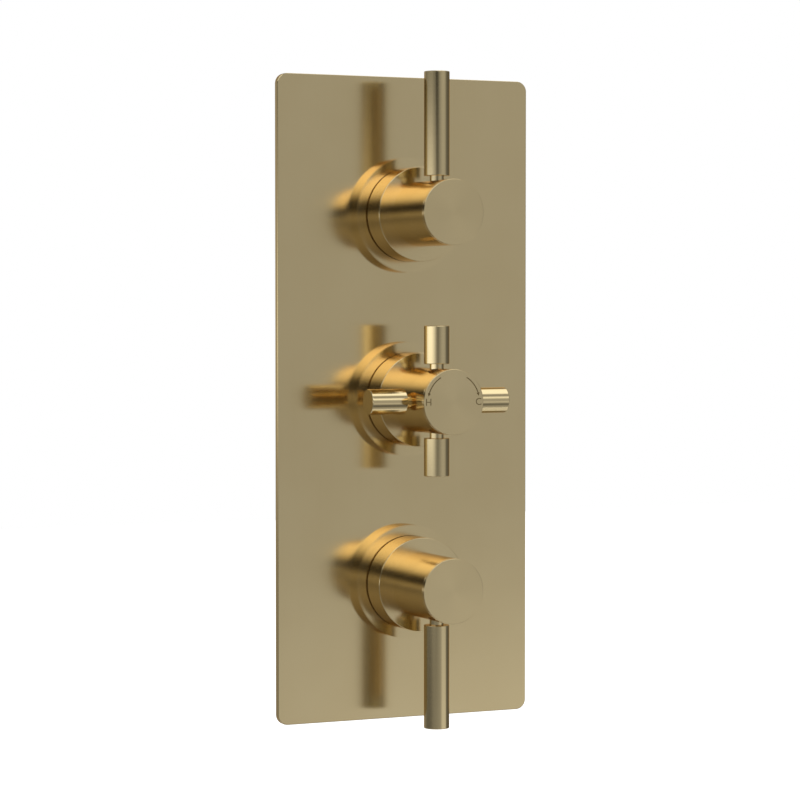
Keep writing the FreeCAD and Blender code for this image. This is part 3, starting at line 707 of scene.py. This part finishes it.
def rod_cutters(name):
    """The flat seats and stud holes that the necks stand in."""
    form = bmesh.new()
    middle = knob_axis(name) + OUT * rod_depth * MM
    for way in rods_of[name]["ways"]:
        outline = [
            (stud_hole_end, 0),
            (stud_hole_end, stud_hole_radius),
            (neck_seat_reach, stud_hole_radius),
            (neck_seat_reach, seat_radius),
            (rod_start, seat_radius),
            (rod_start, 0),
        ]
        spun(form, outline, rod_steps // 2, way, middle)
    bmesh.ops.recalc_face_normals(form, faces=form.faces)
    return form


for name in stations:
    knob = finish_mesh(knob_form(knob_axis(name)), f"brass_knob_{name}", turned_brass[name])
    cut_with(knob, spline_cutter(knob_axis(name)))
    cut_with(knob, rod_cutters(name))
    sharpen(knob)
    stand_for(knob, handle_body[name], "brushed_brass", f"{name}_knob")


# ---- Levers and spokes ----------------------------------------------------------


def handle_rods(name):
    """Rods with a thin neck and a stud, out from the knob axis."""
    form = bmesh.new()
    middle = knob_axis(name) + OUT * rod_depth * MM
    reach = rods_of[name]["reach"]
    for way in rods_of[name]["ways"]:
        outline = [
            (stud_end, 0),
            (stud_end, stud_radius),
            (neck_seat_reach, stud_radius),
            (neck_seat_reach, neck_radius),
            (rod_start, neck_radius),
            (rod_start, rod_radius, rod_edge_break),
            (reach, rod_radius, rod_edge_break),
            (reach, 0),
        ]
        spun(form, rounded(outline), rod_steps, way, middle)
    return form


for name, node in (
    ("upper", "upper_lever"),
    ("temperature", "cross_spokes"),
    ("lower", "lower_lever"),
):
    piece = finish_mesh(handle_rods(name), f"brass_{node}", rod_brass[name])
    stand_for(piece, handle_body[name], "brushed_brass", node)


# ---- Marks engraved on the temperature knob -------------------------------------

mark_depth = 0.12
mark_reach = 12.9
letter_size = 4.7
letter_thinning = 0.02
letter_steps = 6
arc_reach = 13.3
arc_width = 0.5
arc_start, arc_end = 60, 17
arc_steps = 24
arrow_length = 1.5
arrow_width = 1.6
arrow_overlap = 0.3
over_face = 0.1


def letter_form(text, x):
    """A letter centred at x on the knob's face, as a cutter."""
    curve = bpy.data.curves.new("letter", "FONT")
    curve.body = text
    curve.align_x, curve.align_y = "CENTER", "CENTER"
    curve.size = letter_size * MM
    curve.offset = -letter_thinning * MM
    curve.extrude = (mark_depth + over_face) / 2 * MM
    curve.resolution_u = letter_steps
    holder = new_object("letter", curve)
    mesh = evaluated_mesh(holder)
    form = bmesh.new()
    form.from_mesh(mesh)
    bpy.data.objects.remove(holder)
    bpy.data.curves.remove(curve)
    bpy.data.meshes.remove(mesh)
    bmesh.ops.remove_doubles(form, verts=form.verts, dist=same_place)
    centre_depth = knob_face + (over_face - mark_depth) / 2
    bmesh.ops.transform(
        form,
        matrix=Matrix.Translation((x * MM, -centre_depth * MM, 0))
        @ Matrix.Rotation(math.pi / 2, 4, "X"),
        verts=form.verts,
    )
    bmesh.ops.recalc_face_normals(form, faces=form.faces)
    return form


def arc_form(side):
    """Arc with an arrowhead at its lower end, on the right or, mirrored, on the left."""
    form = bmesh.new()
    half = arc_width / 2
    low, high = knob_face - mark_depth, knob_face + over_face

    def at(reach, degrees, depth):
        turn = math.radians(degrees)
        return MM * Vector((reach * math.cos(turn), -depth, reach * math.sin(turn)))

    section = form.faces.new(
        [
            form.verts.new(at(reach, arc_start, depth))
            for reach, depth in (
                (arc_reach - half, low),
                (arc_reach + half, low),
                (arc_reach + half, high),
                (arc_reach - half, high),
            )
        ]
    )
    bmesh.ops.spin(
        form,
        geom=[section],
        cent=(0, 0, 0),
        axis=OUT,
        angle=math.radians(arc_end - arc_start),
        steps=arc_steps,
    )
    arrow_turn = math.degrees(arrow_length / arc_reach)
    corners = (
        (arc_reach - arrow_width / 2, arc_end + arrow_overlap * arrow_turn),
        (arc_reach + arrow_width / 2, arc_end + arrow_overlap * arrow_turn),
        (arc_reach, arc_end - (1 - arrow_overlap) * arrow_turn),
    )
    head = form.faces.new([form.verts.new(at(reach, turn, low)) for reach, turn in corners])
    draw_out(form, head, high - low)
    bmesh.ops.scale(form, vec=(side, 1, 1), verts=form.verts)
    bmesh.ops.recalc_face_normals(form, faces=form.faces)
    return form


face = bpy.data.objects["brass_cap_temperature"]
for cutter in (
    letter_form("H", -mark_reach),
    letter_form("C", mark_reach),
    arc_form(1),
    arc_form(-1),
):
    cut_with(face, cutter, engraved=True)
sharpen(face)


# ---- Finishes of the pieces that keep their CAD shape -----------------------------

# Their corners are welded, so that curved faces shade smooth between hard edges.
for part in frame["record"]["subparts"]:
    node = frame["nodes"][part["node"]]
    node.data.materials.clear()
    node.data.materials.append(finish_of_slot[part["material_slot"]])
    node.data.shade_smooth()
    weld = node.modifiers.new("weld", "WELD")
    weld.merge_threshold = cad_same_place
    edges = node.modifiers.new("hard_edges", "EDGE_SPLIT")
    edges.split_angle = math.radians(sharp_angle)

# Each spring stands between a fixed seat and the piece that it pushes, and gets
# a mesh of its own here. Its moving end is the low corner of its box (0) or the
# high one (1). Travel is in millimetres.
for name, joint, axis, moving_end, travel in (
    ("hot_check_spring", "hot_check_open", (1, 0, 0), 0, 2.0),
    ("cold_check_spring", "cold_check_open", (1, 0, 0), 1, 2.0),
    ("return_spring", "thermostat_travel", (0, 1, 0), 0, 0.755),
):
    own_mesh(frame["nodes"][name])

# ---- Camera -----------------------------------------------------------------

# The camera stands where the photo was taken from, as the outlines of the plate,
# the collars and the knobs show it.
camera_azimuth = math.radians(-24.527)
camera_elevation = math.radians(2.038)
camera_distance = 1.3194
camera_target = Vector((-0.00093, 0, -0.00081))
camera_lens = 122.37

backwards = Vector(
    (
        math.sin(camera_azimuth) * math.cos(camera_elevation),
        -math.cos(camera_azimuth) * math.cos(camera_elevation),
        math.sin(camera_elevation),
    )
)
lens = bpy.data.cameras.new("camera")
lens.lens = camera_lens
lens.sensor_width = 36
lens.clip_start = 0.01
lens.clip_end = 200
camera = new_object("camera", lens)
camera.matrix_world = Matrix.Translation(
    camera_target + backwards * camera_distance
) @ backwards.to_track_quat("Z", "Y").to_matrix().to_4x4()
bpy.context.scene.camera = camera
bpy.context.scene.view_settings.view_transform = "Standard"

# ---- Studio -----------------------------------------------------------------

# A screen of soft panels stands round the valve and lights it. It is a shell of
# grey cloth, with lit panels and dark cards on it, each with soft edges. A
# place on it is an azimuth, + to the right of the front, and an elevation, in
# degrees. Lengths in the studio are in metres.
screen_radius = 4.0
screen_steps = 96
screen_foot = -58
screen_grey = 0.365
panels = [
    # azimuth, elevation, half width, half height, soft edge across, up, light
    (60.3, -11, 44.6, 46.6, 25.2, 16, 0.48),  # right wall
    (107, -0.6, 44.6, 20, 38, 3.5, 0.14),  # right dark card
    (-40, 22.2, 60.8, 7, 80, 8.9, 2.42),  # key softbox
    (-6.4, 32.3, 12.8, 3.3, 6, 16.4, 2.42),  # high softbox
    (-28.7, 9.4, 19.3, 14.8, 39, 22.8, 0.0),  # front dark card
    (-87.1, 0.3, 43, 4.3, 80, 9.2, 1.79),  # strip light
    (-100, -16, 47.5, 11.5, 72.5, 8.7, 0.15),  # lower left card
    (-95, 14.9, 51.8, 9, 15.3, 15.5, 0.08),  # upper left card
    (45.7, -18.1, 23.7, 9.4, 21, 8.5, 0.76),  # low fill
    (18.6, -32.7, 19.9, 12.5, 75.6, 20, 0.0),  # low dark card
    (48.8, 63.6, 100, 13.6, 63.3, 13, 1.49),  # overhead softbox
]


def studio_screen():
    material, tree = new_material("studio_panels")
    place = add_node(tree, "ShaderNodeTexCoord").outputs["Object"]
    split = add_node(tree, "ShaderNodeSeparateXYZ", Vector=place)
    front = calculate(tree, "MULTIPLY", split.outputs[1], -1.0)
    azimuth = calculate(tree, "ARCTAN2", split.outputs[0], front)
    height = calculate(tree, "DIVIDE", split.outputs[2], screen_radius)
    elevation = calculate(tree, "ARCSINE", height)

    def within(angle, centre, half, soft, around):
        """1 inside a span of an angle, falling softly to 0 outside it."""
        offset = calculate(tree, "SUBTRACT", angle, math.radians(centre))
        if around:
            offset = calculate(tree, "WRAP", offset, math.pi, -math.pi)
        return add_node(
            tree,
            "ShaderNodeMapRange",
            {"interpolation_type": "SMOOTHSTEP"},
            i0=calculate(tree, "ABSOLUTE", offset),
            i1=math.radians(half - soft / 2),
            i2=math.radians(half + soft / 2),
            i3=1.0,
            i4=0.0,
        ).outputs[0]

    level = screen_grey
    for turn, rise, half_width, half_height, soft_across, soft_up, light in panels:
        across = within(azimuth, turn, half_width, soft_across, True)
        up = within(elevation, rise, half_height, soft_up, False)
        level = mix(tree, calculate(tree, "MULTIPLY", across, up), level, light)
    close_material(tree, add_node(tree, "ShaderNodeEmission", Strength=level))

    form = bmesh.new()
    bmesh.ops.create_uvsphere(
        form, u_segments=screen_steps, v_segments=screen_steps // 2, radius=screen_radius
    )
    foot = screen_radius * math.sin(math.radians(screen_foot))
    below = [f for f in form.faces if f.calc_center_median().z < foot]
    bmesh.ops.delete(form, geom=below, context="FACES")
    bmesh.ops.reverse_faces(form, faces=form.faces)
    screen = new_object("studio_screen", new_mesh(form, "studio_screen", material))
    screen.data.shade_smooth()
    screen.visible_camera = False


studio_screen()

# A soft box behind the wall plane lights the bodies. It is a little smaller than
# the plate, so that the plate keeps its light off every piece in front. Sizes
# are in millimetres, the power in watts.
rear_width, rear_height = 120.0, 290.0
rear_distance = 500.0
rear_power = 1.1
rear_light = bpy.data.lights.new("rear_softbox", "AREA")
rear_light.shape = "RECTANGLE"
rear_light.size, rear_light.size_y = rear_width * MM, rear_height * MM
rear_light.energy = rear_power
rear_softbox = new_object("rear_softbox", rear_light)
rear_softbox.location = (0, rear_distance * MM, 0)
rear_softbox.rotation_euler = (math.radians(-90), 0, 0)
rear_softbox.visible_camera = False

# The floor is pale and lies just under the screen's foot. Its own glow under
# camera and mirror rays takes it to the white of the backdrop.
floor_height = -3.5
floor_size = 80
floor_colour = "#f4f4f4"
floor_glow = 0.35


def studio_floor():
    material, tree = new_material("pale_floor")
    rays = add_node(tree, "ShaderNodeLightPath")
    seen = calculate(tree, "ADD", rays.outputs["Is Camera Ray"], rays.outputs["Is Glossy Ray"])
    seen = calculate(tree, "ADD", seen, rays.outputs["Is Transmission Ray"], clamp=True)
    glow = calculate(tree, "MULTIPLY", seen, floor_glow)
    paint = add_node(tree, "ShaderNodeBsdfDiffuse", Color=colour(floor_colour))
    light = add_node(tree, "ShaderNodeEmission", Strength=glow)
    shader = add_node(tree, "ShaderNodeAddShader", i0=paint.outputs[0], i1=light.outputs[0])
    close_material(tree, shader)
    form = bmesh.new()
    bmesh.ops.create_grid(form, x_segments=1, y_segments=1, size=floor_size / 2)
    bmesh.ops.translate(form, vec=(0, 0, floor_height), verts=form.verts)
    floor = new_object("studio_floor", new_mesh(form, "studio_floor", material))


studio_floor()

world = bpy.data.worlds.new("white_backdrop")
world.use_nodes = True
world.node_tree.nodes.clear()
backdrop = add_node(world.node_tree, "ShaderNodeBackground", Color=(1, 1, 1, 1), Strength=1.0)
add_node(world.node_tree, "ShaderNodeOutputWorld", Surface=backdrop.outputs[0])
bpy.context.scene.world = world
